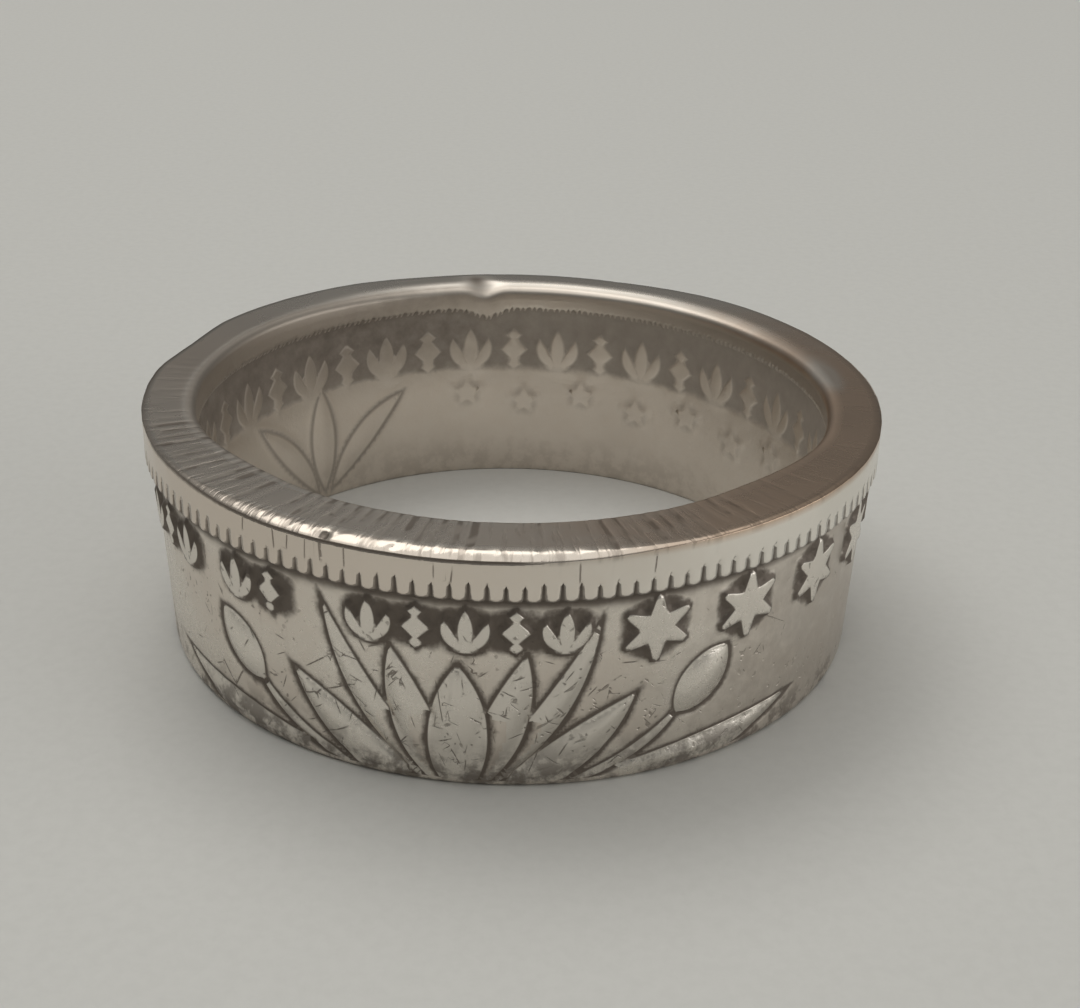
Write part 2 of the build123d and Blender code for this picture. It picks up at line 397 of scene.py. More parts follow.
# %% Runs and bunches of figures
class Figure(NamedTuple):
    """One figure: the angle and level of its middle, its distance function and its relief."""

    angle: float
    level: float
    distances: object
    relief: Relief


def border_run(first_angle, count, pitch, level, size, relief):
    """Palmettes and lozenge stacks by turns along the wall."""
    kinds = (palmette(size), lozenge_stack(size))
    return [Figure(first_angle + place * pitch, level, kinds[place % 2], relief) for place in range(count)]


def bunch(leaves, sides, angle, size, radius, relief):
    """The leaves of a bunch, each drawn where the wall faces it squarely."""
    made = []
    for leaf in leaves:
        for side in sides:
            middle = (leaf.foot_out + leaf.tip_out) / 2
            leaf_angle = angle + math.degrees(side * middle * size / radius)
            made.append(Figure(leaf_angle, 0.0, leaf_figure(leaf, side, size, middle), relief))
    return made


print("a figure has", Figure._fields)

# %% Figures outside
BORDER_GROUPS = ((-90, 2), (-69, 3), (-42.4, 2), (-19.6, 5))
BORDER_PITCH = 6.8
BORDER_LEVEL = HEIGHT - 2.58
BORDER_HEIGHT = 1.44
STAR_GROUPS = ((20.4, 15, 7), (-110.4, -15, 6))
STAR_LEVEL = HEIGHT - 2.8
BLOSSOM_ANGLE = -7.25
BLOSSOM_HEIGHT = 6.0
BOTH_SIDES = (-1, 1)
ONE_SIDE = (1,)

outer_star = star(1.14, 0.51, 6, 0.12)
outer_figures = []
for first, count in BORDER_GROUPS:
    outer_figures += border_run(first, count, BORDER_PITCH, BORDER_LEVEL, BORDER_HEIGHT, BORDER)
for first, pitch, count in STAR_GROUPS:
    for place in range(count):
        outer_figures.append(Figure(first + place * pitch, STAR_LEVEL, outer_star, OUTER_STAR))
petal_layers = (
    (LOW_LEAVES, BOTH_SIDES, LOW_PETAL),
    (MIDDLE_LEAVES, BOTH_SIDES, MIDDLE_PETAL),
    (CENTRE_LEAVES, ONE_SIDE, CENTRE_PETAL),
)
for leaves, sides, relief in petal_layers:
    outer_figures += bunch(leaves, sides, BLOSSOM_ANGLE, BLOSSOM_HEIGHT, FIELD_RADIUS, relief)
print("figures outside:", len(outer_figures))

# %% Figures inside
INNER_BORDER_ANGLE = 57.8
INNER_BORDER_COUNT = 27
INNER_BORDER_PITCH = 9.4
INNER_BORDER_LEVEL = HEIGHT - 2.75
INNER_BORDER_HEIGHT = 1.66
SMALL_STAR_ANGLE = 190.2
SMALL_STAR_PITCH = 12.5
SMALL_STAR_COUNT = 7
SMALL_STAR_LEVEL = HEIGHT - 4.82
SMALL_STAR_STEP = 0.2
REED_ANGLE = 222.0
REED_HEIGHT = 4.4

small_star = star(0.58, 0.27, 5, 0.04)
border_place = (INNER_BORDER_ANGLE, INNER_BORDER_COUNT, INNER_BORDER_PITCH, INNER_BORDER_LEVEL)
inner_figures = border_run(*border_place, INNER_BORDER_HEIGHT, INNER_BORDER)
for place in range(SMALL_STAR_COUNT):
    level = SMALL_STAR_LEVEL - (SMALL_STAR_STEP if place % 2 else -SMALL_STAR_STEP)
    inner_figures.append(Figure(SMALL_STAR_ANGLE - place * SMALL_STAR_PITCH, level, small_star, SMALL_STAR))
inner_figures += bunch(REEDS, ONE_SIDE, REED_ANGLE, REED_HEIGHT, INNER_FIELD_RADIUS, REED)
print("figures inside:", len(inner_figures))

# %% [markdown]
# ## Pressing the figures into the wall
# A die presses the back petals first and the front ones over them, so the figures are laid in that
# order and each covers what is behind it. A Displace modifier with a painted map could do this, but a
# map has pixels and the formula has none. Points close to an outline are first drawn onto it, so the
# grid's edges follow the figures and no outline is jagged.


# %% Soft steps and humps
def wrap(angles):
    """Angles brought to between -180 and 180 degrees."""
    return (angles + 180) % 360 - 180


def smooth(values):
    """Zero to one with a soft start and end."""
    held = np.clip(values, 0, 1)
    return held * held * (3 - 2 * held)


def hump(away, width):
    """One where away is nought, and falling off softly over a width."""
    return np.exp(-(away / width) ** 2)


def near_angle(angles, middle, reach, fade):
    """One near an angle, nought beyond reach, with a soft fade on both sides."""
    return smooth((reach - np.abs(wrap(angles - middle))) / fade)


print("a hump at its middle and one width away:", hump(np.array([0.0, 1.0]), 1.0).round(3))

# %% One figure's rise and dirt
FAR = 9.0
IN_SIGHT = 1.2
RIB_WIDTH = 0.09
RIB_FADE = 0.3
PATCH_FADE = 0.62


def on_figure(figure, angles, radii, heights):
    """A figure's distances at points of the wall: to its outline and to its rib."""
    turn = np.radians(wrap(angles - figure.angle))
    outline, rib = figure.distances(radii * np.sin(turn), heights - figure.level)
    return np.where(np.abs(turn) < IN_SIGHT, outline, FAR), rib


def risen_body(relief, outline, rib):
    """How much of a figure has risen at each point, and how high its body stands there."""
    depth = np.maximum(-outline, 0)
    inside = 1 - (1 - relief.early) * np.exp(-depth / relief.side_width)
    outside = relief.early * smooth(1 - outline / relief.outer_width)
    body = relief.edge + relief.swell * np.sin(np.minimum(depth / relief.swell_width, 1) * math.pi / 2)
    body -= relief.rib * hump(rib, RIB_WIDTH) * smooth(depth / RIB_FADE)
    return np.where(outline < 0, inside, outside), body


def dirt_round(figure, outline, angles, radii, heights):
    """How much dirt a figure gathers round its outline and over its patch."""
    darkening = np.zeros_like(outline)
    if figure.relief.soot_width:
        darkening = np.exp(-np.maximum(outline, 0) / figure.relief.soot_width)
    patch = figure.relief.patch
    if patch:
        beyond_sides = np.abs(np.radians(wrap(angles - figure.angle))) * radii - patch.half_width
        beyond_ends = np.abs(heights - figure.level) - patch.half_height
        beyond = np.hypot(np.maximum(beyond_sides, 0), np.maximum(beyond_ends, 0))
        darkening = np.maximum(darkening, patch.strength * smooth(1 - (beyond - patch.corner) / PATCH_FADE))
    return darkening


print("a figure is seen within", round(math.degrees(IN_SIGHT)), "degrees of its middle")

# %% Pressing all the figures
GROOVE_WIDTH = 0.12
CLEAN_EDGE = 0.1
PROBE = 0.01


def press(figures, angles, radii, heights):
    """What the figures do at each point: how far they lift it, how far it lies outside the nearest
    outline in sight, the way to that outline, and how much dirt they gather."""
    lift = np.zeros_like(angles)
    gap = np.full_like(angles, FAR)
    way = np.zeros((2, *angles.shape))
    soot = np.zeros_like(angles)
    for figure in figures:
        outline, rib = on_figure(figure, angles, radii, heights)
        risen, body = risen_body(figure.relief, outline, rib)
        ditch = figure.relief.groove * np.exp(-np.maximum(outline, 0) / GROOVE_WIDTH)
        lift = (lift - ditch) * (1 - risen) + body * risen
        darkening = dirt_round(figure, outline, angles, radii, heights)
        soot = np.maximum(soot, darkening) * smooth(1 + outline / CLEAN_EDGE)
        nearer = (outline < 0) | (outline < np.abs(gap))
        aside = on_figure(figure, angles + np.degrees(PROBE / radii), radii, heights)[0]
        above = on_figure(figure, angles, radii, heights + PROBE)[0]
        way = np.where(nearer, np.array([aside - outline, above - outline]) / PROBE, way)
        gap = np.where(nearer, outline, gap)
    return lift, gap, way, soot


def draw_to_outlines(figures, angles, radii, heights, longest):
    """Angles and heights again, with the nearer end of each edge that an outline crosses moved onto it."""
    gap, way = press(figures, angles, radii, heights)[1:3]
    near = np.abs(gap)
    close = np.zeros(gap.shape, bool)
    for axis in (0, 1):
        crossed = (gap * np.roll(gap, -1, axis) < 0) & (near + np.roll(near, -1, axis) < longest)
        first = near <= np.roll(near, -1, axis)
        close |= crossed & first
        close |= np.roll(crossed & ~first, 1, axis)
    close[[0, -1]] = False
    moved = np.where(close, -gap, 0)
    return angles + np.degrees(moved * way[0] / radii), heights + moved * way[1]


print("grooves fall off over", GROOVE_WIDTH, "mm")

# %% Draw the grid to the outlines
OUTER_EDGE = 0.16
INNER_EDGE = 0.24
ROUNDS = 2
angles = np.tile(columns, (len(section), 1))
radii = np.repeat(section[:, :1], len(columns), axis=1)
heights = np.repeat(section[:, 1:], len(columns), axis=1)
gap = np.full_like(angles, FAR)
crease = np.full_like(angles, FAR)
soot = np.zeros_like(angles)
outer = zones == "outer"
inner = zones == "inner"
for rows, figures, longest in ((outer, outer_figures, OUTER_EDGE), (inner, inner_figures, INNER_EDGE)):
    for _ in range(ROUNDS):
        placed = (angles[rows], radii[rows], heights[rows])
        angles[rows], heights[rows] = draw_to_outlines(figures, *placed, longest)
print("points drawn onto outlines:", int((heights != section[:, 1:]).sum()))

# %% Lift the figures
outer_lift, gap[outer], _, soot[outer] = press(outer_figures, angles[outer], radii[outer], heights[outer])
inner_lift, gap[inner], _, soot[inner] = press(inner_figures, angles[inner], radii[inner], heights[inner])
foot_fade = smooth((heights[outer] - 0.3) / 0.25)
head_fade = smooth((FIELD_TOP - heights[outer]) / 0.12)
radii[outer] = outside_radius(heights[outer]) + outer_lift * foot_fade * head_fade
inner_fade = smooth((heights[inner] - 0.2) / 1.2) * smooth((INNER_FIELD_TOP - heights[inner]) / 0.1)
radii[inner] = inside_radius(heights[inner]) - inner_lift * inner_fade
print("outer relief in mm:", outer_lift.min().round(3), "to", outer_lift.max().round(3))

# %% [markdown]
# ## Slits and reeds
# The rim's teeth are parted by slits that a file could cut, narrow above and flared below. The coin's
# own reeded edge now lies on top, and its grooves are half worn away. Boolean cuts would be clean and
# all alike, so the grid's own columns are pushed in instead, each tooth by its own seeded amount. The
# crease value notes how far a point lies from such a slit or corner, for the dirt to follow later.
# The crease values also carry one painted reflection: a dark line along the top of the rim, under the
# bevel.


# %% Seeded unevenness
def waves(angles, counts, seed):
    """A smooth seeded unevenness round the ring, about one high."""
    phases = np.random.default_rng(seed).uniform(0, 360, len(counts))
    parts = [np.sin(np.radians(angles * count + phase)) for count, phase in zip(counts, phases)]
    return sum(parts) / len(counts)


share = np.tile(COLUMN_SHARES, TEETH)
tooth = np.repeat(np.arange(TEETH), len(COLUMN_SHARES))
middle_column = share == 0
side_column = np.abs(share) == 0.2
random = np.random.default_rng(147)


def by_column(middle, side, rest):
    """One value for a tooth's middle column, one for those beside it, one for the rest."""
    return np.where(middle_column, middle, np.where(side_column, side, rest))


print("columns in the slits' middles:", int(middle_column.sum()))

# %% Slits between the teeth
SLIT_DEPTH = 0.2
SLIT_FADE = 0.09
FLARE_HEIGHT = 0.62
NARROW = 0.46
NO_CREASE = 0.5
slit_depth = SLIT_DEPTH * random.uniform(0.8, 1.0, TEETH)[tooth]
slit_top = RIM_FOOT + SLIT_HEIGHT + random.uniform(-0.13, -0.01, TEETH)[tooth]
for row in np.flatnonzero((zones == "slope") | (zones == "rim")):
    below_top = slit_top - section[row, 1]
    open_share = smooth(below_top / SLIT_FADE)
    flare = NARROW + (1 - NARROW) * np.clip(below_top / FLARE_HEIGHT, 0, 1) ** 2
    cut = RIM_RADIUS - slit_depth * open_share
    radii[row] = np.where(middle_column, np.minimum(radii[row], cut), radii[row])
    angles[row] += np.where(side_column, share * TOOTH_PITCH * (flare - 1), 0)
    crease[row] = np.minimum(NO_CREASE, by_column(0.0, 0.09, 0.4) + NO_CREASE * (1 - open_share))
slope_row = np.flatnonzero(zones == "slope")[0]
crease[slope_row] = 0.0
crease[slope_row + 1] = np.minimum(crease[slope_row + 1], 0.1)
heights[slope_row + 1] += np.where(side_column, 0.05, 0)
crease[outer] = np.minimum(crease[outer], FIELD_TOP + 0.02 - heights[outer])
print("slits from", round(RIM_FOOT, 2), "up to", slit_top.max().round(2))

# %% Worn reeds on the top face
# A span has its middle, how far it reaches and how softly it ends, in degrees.
REED_SPAN = (-27, 99.2, 62)
REED_DEPTH = 0.014
SIDE_SHARE = 0.55
LEAST_REED = 0.12
top_rows = np.flatnonzero(zones == "top")
bevel_rows = np.flatnonzero(zones == "bevel")
inner_edge_rows = np.flatnonzero(zones == "inner_bevel")[:3]
stroke = np.zeros_like(angles)
reed_strength = random.uniform(0.2, 1.0, TEETH) * (random.uniform(0, 1, TEETH) > LEAST_REED)
reed_strength = (reed_strength * near_angle(columns[::len(COLUMN_SHARES)], *REED_SPAN))[tooth]
reed_end = BORE_RADIUS + 1.7 * random.uniform(0.55, 1.0, TEETH)[tooth]
for row in (*bevel_rows[-5:], *top_rows, *inner_edge_rows):
    worn = reed_strength * smooth((reed_end - section[row, 0]) / 0.3)
    stroke[row] = by_column(worn, SIDE_SHARE * worn, 0)
    heights[row] -= REED_DEPTH * stroke[row]
print("deepest reed:", round(REED_DEPTH * reed_strength.max(), 3))

# %% Ragged bevel at the front, and a painted reflection under it
RAGGED_HEIGHT = 0.012
RAGGED_SPAN = (-14, 62, 26)
PAINTED_REFLECTION_SPAN = (-32, 50, 20)
PAINTED_REFLECTION = (0.27, 0.5, 0.45, 0.2)
ragged = (1 + waves(angles, (97, 151, 233, 307), 9)) * near_angle(columns, *RAGGED_SPAN)
heights[bevel_rows[5:8]] -= (RAGGED_HEIGHT * ragged)[bevel_rows[5:8]]
# Painted reflection: a dark line along the top of the rim, just under the bevel, stands for the dim room
# mirrored there. It is written into the crease values, so the silver draws it dark.
painted_reflection = near_angle(columns, *PAINTED_REFLECTION_SPAN)
for row, strength in enumerate(PAINTED_REFLECTION, start=bevel_rows[0] - 1):
    crease[row] = NO_CREASE - strength * painted_reflection
print("bevel ragged by up to", (RAGGED_HEIGHT * ragged).max().round(3), "mm")

# %% Foot of the inner rim
NOTCH = 0.075
bore_foot = np.flatnonzero(zones == "bore")[-1]
inner_top = np.flatnonzero(inner)[0]
crease[bore_foot] = by_column(0.02, 0.13, 0.04)
crease[bore_foot - 1] = by_column(0.16, 0.4, 0.16)
crease[inner] = np.minimum(crease[inner], INNER_FIELD_TOP + 0.02 - heights[inner])
notch = by_column(NOTCH, 0.0, 0.8 * NOTCH) * np.random.default_rng(21).uniform(0.15, 1.1, len(columns))
heights[bore_foot] += notch
radii[bore_foot] += notch
heights[inner_top] += 0.5 * notch
print("teeth at the foot of the inner rim:", 2 * int(middle_column.sum()))

# %% [markdown]
# ## Knocks and rubbed places
# A ring that has been worn has no perfect edge. The bevel is worn away on both sides, one corner of
# the rim is rubbed to a slant, and the inner edge is worn round at the back, where a knock has moved
# its metal downwards. Towards the front the metal has spread, and small nicks sit on the bright bevel.
# A sculpting brush would do it by hand. Formulas over angle and height give the same dents each run.

# %% Bevel worn away on both sides
MOST_WORN = 0.8
RIGHT_SHARE = 0.8
LEFT_SPAN = (-100, 66, 24)
RIGHT_SPAN = (80, 76, 20)
worn_left = near_angle(angles, *LEFT_SPAN)
worn_right = RIGHT_SHARE * near_angle(angles, *RIGHT_SPAN)
worn_away = MOST_WORN * np.maximum(worn_left, worn_right)
for row in bevel_rows:
    radii[row] += (RIM_RADIUS - radii[row]) * worn_away[row]
    heights[row] += (HEIGHT - heights[row]) * worn_away[row]
for row in top_rows:
    share_out = (section[row, 0] - BORE_RADIUS) / (top_edge - BORE_RADIUS)
    radii[row] += (RIM_RADIUS - top_edge) * worn_away[row] * share_out
print("bevel smaller by up to", worn_away.max().round(2), "of itself")

# %% Rubbed corner
RUBBED_ANGLE = -108
RUBBED_DEPTH = 0.24
RUBBED_HEIGHT = 0.7
RUBBED_REACH = 0.7
SOFT_BEND = 0.05
CORNER_EXTRA = 0.05
LEAST_STEP = 0.002
turn = np.cos(np.radians(wrap(angles - RUBBED_ANGLE)))
slant = RIM_RADIUS - RUBBED_DEPTH * np.clip(1 - (HEIGHT - heights) / RUBBED_HEIGHT, 0, 1)
limit = slant / np.maximum(turn, RUBBED_REACH)


def rubbed_off(rows, extra=0.0):
    """How much is rubbed off some rows, with a soft bend where the slant begins."""
    past = radii[rows] - limit[rows] + extra
    return np.where(turn[rows] > RUBBED_REACH, (past + np.hypot(past, SOFT_BEND)) / 2, 0)


rim_rows = np.isin(zones, ("rim", "bevel"))
corner_row = bevel_rows[-1]
corner_before = radii[corner_row].copy()
over = rubbed_off(rim_rows)
radii[rim_rows] -= over
radii[corner_row] -= rubbed_off(corner_row, CORNER_EXTRA)
corner_push = corner_before - radii[corner_row]
radii[top_rows] -= corner_push * (radii[top_rows] - BORE_RADIUS) / (corner_before - BORE_RADIUS)
for row in bevel_rows[::-1][1:]:
    radii[row] = np.maximum(radii[row], radii[row + 1] + LEAST_STEP)
print("rubbed in by", over.max().round(3))

# %% Knock on the inner edge
KNOCK_ANGLE = 186.3
KNOCK_DEPTH = 0.24
KNOCK_WIDTH = 2.7
BULGE_ANGLE = 185.9
BULGE_DEPTH = 0.42
BULGE_WIDTH = 3.6
BULGE_LEVEL = 7.05
BULGE_HEIGHT = 0.34


def top_share(heights):
    """One at the top of the ring, fading to nought a little below it."""
    return smooth((heights - 7.3) / 0.5)


inside_rows = np.isin(zones, ("top", "inner_bevel", "bore"))[:, None]
near_edge = hump(np.maximum(radii - BORE_RADIUS - 0.05, 0), 0.45) * top_share(heights)
sunk = np.where(inside_rows, KNOCK_DEPTH * hump(wrap(angles - KNOCK_ANGLE), KNOCK_WIDTH) * near_edge, 0)
heights -= sunk
at_foot = hump(heights - BULGE_LEVEL, BULGE_HEIGHT)
bulge = BULGE_DEPTH * hump(wrap(angles - BULGE_ANGLE), BULGE_WIDTH) * at_foot
heights -= np.where(inside_rows | inner[:, None], bulge, 0)
print("knock sunk by", sunk.max().round(3))

# %% Stain in the knock and toning of the right side
# Each toned place has its strength, its angle and half width there, and its radius and half width there.
TONED_PLACES = ((0.6, 76, 13, 11.7, 0.5), (-0.9, 98, 8, 11.1, 0.45))
knock_stain = hump(wrap(angles - 187.8), 2.5) * hump(radii - 11.5, 0.6)
patina = np.zeros_like(angles)
for strength, angle, angle_width, radius, radius_width in TONED_PLACES:
    patina += strength * hump(wrap(angles - angle), angle_width) * hump(radii - radius, radius_width)
print("toning from", patina.min().round(2), "to", patina.max().round(2))

# %% Inner edge worn round at the back
WORN_ROUND = 0.12
BACK_SPAN = (162, 78, 42)
worn_round = WORN_ROUND * near_angle(angles, *BACK_SPAN) * smooth((BORE_RADIUS + 0.66 - radii) / 0.46)
heights -= np.where(inside_rows, worn_round * top_share(heights), 0)
print("inner edge lower by up to", worn_round.max().round(2), "mm")

# %% Metal spread towards the front
SPREAD = 0.52
SPREAD_SPAN = (-2, 74, 32)
spread = SPREAD * near_angle(angles, *SPREAD_SPAN)
share_in = np.clip(top_edge - radii, 0, 1)
fade_down = smooth((heights - (INNER_RIM_FOOT - 1.6)) / 2.2)
radii -= np.where(inside_rows | inner[:, None], spread * share_in * fade_down, 0)
print("rim wider at the front by", spread.max().round(2), "mm")

# %% Nicks on the bevel
# Each nick has its angle, its offset down the bevel, its size and its depth.
SEEDED_NICKS = 30
MARKED_NICK = 0.05
nicks = [
    (-25.6, 0.02, 0.17, 0.13), (-15.6, -0.02, 0.10, 0.08), (-1.2, 0.03, 0.06, 0.06), (12, 0.0, 0.05, 0.07),
]
for _ in range(SEEDED_NICKS):
    angle = random.uniform(-180, 180)
    offset = random.uniform(-0.12, 0.12)
    nicks.append((angle, offset, random.uniform(0.05, 0.11), random.uniform(0.01, 0.045)))
edge_rows = np.isin(zones, ("rim", "bevel", "top"))[:, None]
for angle, offset, size, depth in nicks:
    aside = np.radians(wrap(angles - angle)) * RIM_RADIUS
    reach = np.hypot(radii - (RIM_RADIUS - 0.19 + offset), heights - (HEIGHT - 0.14 - offset))
    dent = depth * hump(np.hypot(aside, reach), size) * edge_rows * (1 - worn_away)
    radii -= dent * 0.7
    heights -= dent * 0.7
    crease = np.minimum(crease, NO_CREASE - np.minimum(dent / MARKED_NICK, 1) * 0.45)
print("nicks:", len(nicks))

# %% [markdown]
# ## Scratches of the outside
# A worn ring is crossed by fine scratches, most of them at the front, where it meets other things.
# They are finer than the grid, so the mesh can't carry them. A painted mask could, but each point can
# note its distance to the nearest scratch instead, and the silver draws a thin dark line from it.

# %% Where the scratches run
# Each scratch has its angle and height at one end, the same at the other, and its half width in mm.
SEEDED_SCRATCHES = 190
FRONT_SCRATCHES = 130
LONG_ONE_IN = 24
scratches = [
    (-39.1, 7.52, -39.0, 7.76, 0.030), (-33.4, 7.35, -33.5, 7.78, 0.028),
    (-31.2, 7.45, -31.1, 7.72, 0.025), (-28.3, 7.28, -28.2, 7.75, 0.022),
    (-25.8, 7.38, -25.9, 7.78, 0.050), (-22.3, 7.35, -22.3, 7.75, 0.025),
    (-10.0, 7.42, -10.0, 7.68, 0.020), (-7.7, 7.33, -7.6, 7.55, 0.022),
    (8.9, 7.36, 8.9, 7.76, 0.025), (19.1, 7.45, 19.2, 7.74, 0.025),
    (-46.0, 1.25, -44.0, 1.9, 0.035), (-46.0, 1.25, -48.4, 1.85, 0.035),
    (-31.5, 2.2, -22.5, 3.1, 0.022), (-24.5, 3.0, -20.8, 2.5, 0.016),
    (-28.0, 1.0, -24.0, 1.5, 0.024),
]
wear = np.random.default_rng(58)
for place in range(SEEDED_SCRATCHES):
    at_angle = wear.normal(-12, 24) if place < FRONT_SCRATCHES else wear.uniform(-180, 180)
    at_height = wear.uniform(0.5, 4.8)
    lean = wear.normal(0.8, 0.55) * wear.choice((-1, 1))
    long = wear.uniform(0.5, 1.1) if place % LONG_ONE_IN == 0 else wear.uniform(0.04, 0.26)
    end_angle = at_angle + math.degrees(long * math.cos(lean) / RIM_RADIUS)
    end_height = at_height + long * math.sin(lean)
    scratches.append((at_angle, at_height, end_angle, end_height, wear.uniform(0.010, 0.024)))
print("scratches:", len(scratches))

# %% Distance to the nearest scratch
NO_SCRATCH = 0.5
DRAWN_HALF_WIDTH = 0.03
score = np.full_like(angles, NO_SCRATCH)
score_side = np.full_like(angles, NO_SCRATCH)
outside_rows = np.isin(zones, ("outer", "slope", "rim", "bevel"))
wall_angles = angles[outside_rows]
wall_heights = heights[outside_rows]
for start, start_height, end, end_height, half_width in scratches:
    ahead = (math.radians(end - start) * RIM_RADIUS, end_height - start_height)
    length = math.hypot(*ahead)
    across = np.radians(wrap(wall_angles - start)) * RIM_RADIUS
    rise = wall_heights - start_height
    along = (across * ahead[0] + rise * ahead[1]) / length
    beside = (rise * ahead[0] - across * ahead[1]) / length
    past_end = np.maximum(np.maximum(-along, along - length), 0)
    away = np.hypot(beside, past_end) - half_width
    nearer = away < score[outside_rows]
    score[outside_rows] = np.where(nearer, away, score[outside_rows])
    drawn = beside / (half_width / DRAWN_HALF_WIDTH)
    score_side[outside_rows] = np.where(nearer, drawn, score_side[outside_rows])
score_near = smooth(1.15 - np.maximum(score, 0) / 0.13)
print("points near a scratch:", int((score_near > 0).sum()))

# %% Slow unevenness of the whole wall
SLOW_WAVE = 0.022
QUICK_WAVE = 0.008
TOP_WAVE = 0.012
above = heights / HEIGHT
slow = SLOW_WAVE * (1 + waves(angles, (3, 5, 8, 13), 5))
wobble = slow + QUICK_WAVE * (1 + waves(angles, (31, 47, 71), 6))
radii -= wobble * np.where(outside_rows[:, None], above, 0)
top_dip = TOP_WAVE * (1 + waves(angles, (4, 7, 11, 19), 8))
heights -= top_dip * smooth((heights - 7) / 1.1)
radii = np.minimum(radii, RIM_RADIUS)
heights = np.clip(heights, 0, HEIGHT)
print("radii", radii.min().round(3), "to", radii.max().round(3))

# %% [markdown]
# ## The mesh
# The moved points become one closed mesh, a ring of rings: every row joins the next, and the last row
# joins the first. It stands for the packed solid, which keeps its place for the physics. Each square
# is cut along the diagonal that runs nearer to an outline, so that the outlines stay crisp.

# %% Build the ring
rows, count = angles.shape
turned = np.radians(angles)
points = np.stack([radii * np.sin(turned), -radii * np.cos(turned), heights], axis=-1).reshape(-1, 3) * MM
row_index, column_index = np.meshgrid(np.arange(rows), np.arange(count), indexing="ij")
next_row = (row_index + 1) % rows
next_column = (column_index + 1) % count
corners = np.stack([
    row_index * count + column_index,
    row_index * count + next_column,
    next_row * count + next_column,
    next_row * count + column_index,
], axis=-1).reshape(-1, 4)
nearness = np.minimum(np.abs(gap), 0.5).ravel()[corners]
rising = nearness[:, 0] + nearness[:, 2] <= nearness[:, 1] + nearness[:, 3]
order = np.where(rising[:, None], [[0, 1, 2, 0, 2, 3]], [[0, 1, 3, 1, 2, 3]])
square = np.arange(len(corners))[:, None]
faces = corners[square, order].reshape(-1, 3)
ring_mesh = bpy.data.meshes.new("coin_ring_dressed")
ring_mesh.from_pydata(points.tolist(), [], faces.tolist())
ring_mesh.shade_smooth()
ring = bpy.data.objects.new("coin_ring_dressed", ring_mesh)
bpy.context.scene.collection.objects.link(ring)
print("ring:", len(ring_mesh.vertices), "points,", len(ring_mesh.polygons), "triangles")

# %% [markdown]
# ## The unrolled map and what the points learnt
# Smart UV Project would cut the wall into many islands. The wall unrolls into a plain strip instead,
# whose two halves lie one over the other and fill the map's square. What each point learnt about
# creases, dirt and zones goes along as attributes, which the silver reads.

# %% Unrolled map
MARGIN = 0.01
arc = np.concatenate([[0], np.cumsum(np.hypot(*np.diff(section, axis=0).T))])
arc = np.append(arc, arc[-1] + math.dist(section[-1], section[0]))
half = count // 2
turn_place = column_index.ravel()
second = turn_place >= half
across_map = np.stack([turn_place, turn_place + 1, turn_place + 1, turn_place], axis=-1)
across_map = across_map - second[:, None] * half
up_map = np.stack([row_index, row_index, row_index + 1, row_index + 1], axis=-1).reshape(-1, 4)
corner_u = MARGIN + (1 - 2 * MARGIN) * across_map / (count - half)
corner_v = MARGIN + (0.5 - 2 * MARGIN) * arc[up_map] / arc[-1] + 0.5 * second[:, None]
corner_places = np.stack([corner_u[square, order], corner_v[square, order]], axis=-1)
unrolled = ring_mesh.uv_layers.new(name="OFBake")
unrolled.data.foreach_set("uv", corner_places.ravel())
print("map:", unrolled.name, "two strips of", half, "and", count - half, "columns")


# %% Attributes for the finish
def zone_mask(*names):
    """One on the rows of some zones, nought elsewhere."""
    return np.repeat(np.isin(zones, names).astype(float)[:, None], count, axis=1)


def keep(name, values):
    """Keeps one number for each point of the ring."""
    attribute = ring_mesh.attributes.new(name, "FLOAT", "POINT")
    attribute.data.foreach_set("value", values.astype(np.float32).ravel())


keep("gap", np.clip(gap, -0.5, 0.5))
keep("crease", np.clip(crease, 0, NO_CREASE))
keep("score_side", np.clip(score_side, -NO_SCRATCH, NO_SCRATCH))
keep("score_near", score_near)
keep("stroke", stroke)
keep("patina", patina)
keep("stain", knock_stain * zone_mask("top", "inner_bevel"))
keep("soot", np.clip(soot, 0, 1))
keep("top_face", zone_mask("bevel", "top", "inner_bevel"))
keep("inside", zone_mask("inner_bevel", "bore", "inner"))
keep("rim", zone_mask("rim", "bevel"))
keep("inner_field", zone_mask("inner"))
print("attributes:", [a.name for a in ring_mesh.attributes if not a.is_internal])
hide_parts("coin_ring")
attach(ring, "root")

# %% [markdown]
# ## Writing a material as sums
# A material is a tree of nodes, and wiring it by hand hides what it does. One small class wraps a
# socket, so that an expression such as `0.3 + 0.2 * dirt` adds its own Math nodes. Every other node
# comes from one method, which takes the node's type, its settings and what its sockets get.


# %% The socket that can be added and multiplied
class Wire:
    """A shader socket on which sums are written."""

    def __init__(self, finish, socket):
        self.finish = finish
        self.socket = socket

    def sum_of(self, operation, *values):
        return self.finish.node("Math", {"operation": operation}, dict(enumerate(values)))

    def __add__(self, other):
        return self.sum_of("ADD", self, other)

    def __radd__(self, other):
        return self.sum_of("ADD", other, self)

    def __sub__(self, other):
        return self.sum_of("SUBTRACT", self, other)

    def __rsub__(self, other):
        return self.sum_of("SUBTRACT", other, self)

    def __mul__(self, other):
        return self.sum_of("MULTIPLY", self, other)

    def __rmul__(self, other):
        return self.sum_of("MULTIPLY", other, self)

    def __abs__(self):
        return self.sum_of("ABSOLUTE", self)


def most(first, *others):
    """The greatest of several sums."""
    for other in others:
        first = first.sum_of("MAXIMUM", first, other)
    return first


print("a wire can be added, subtracted and multiplied")


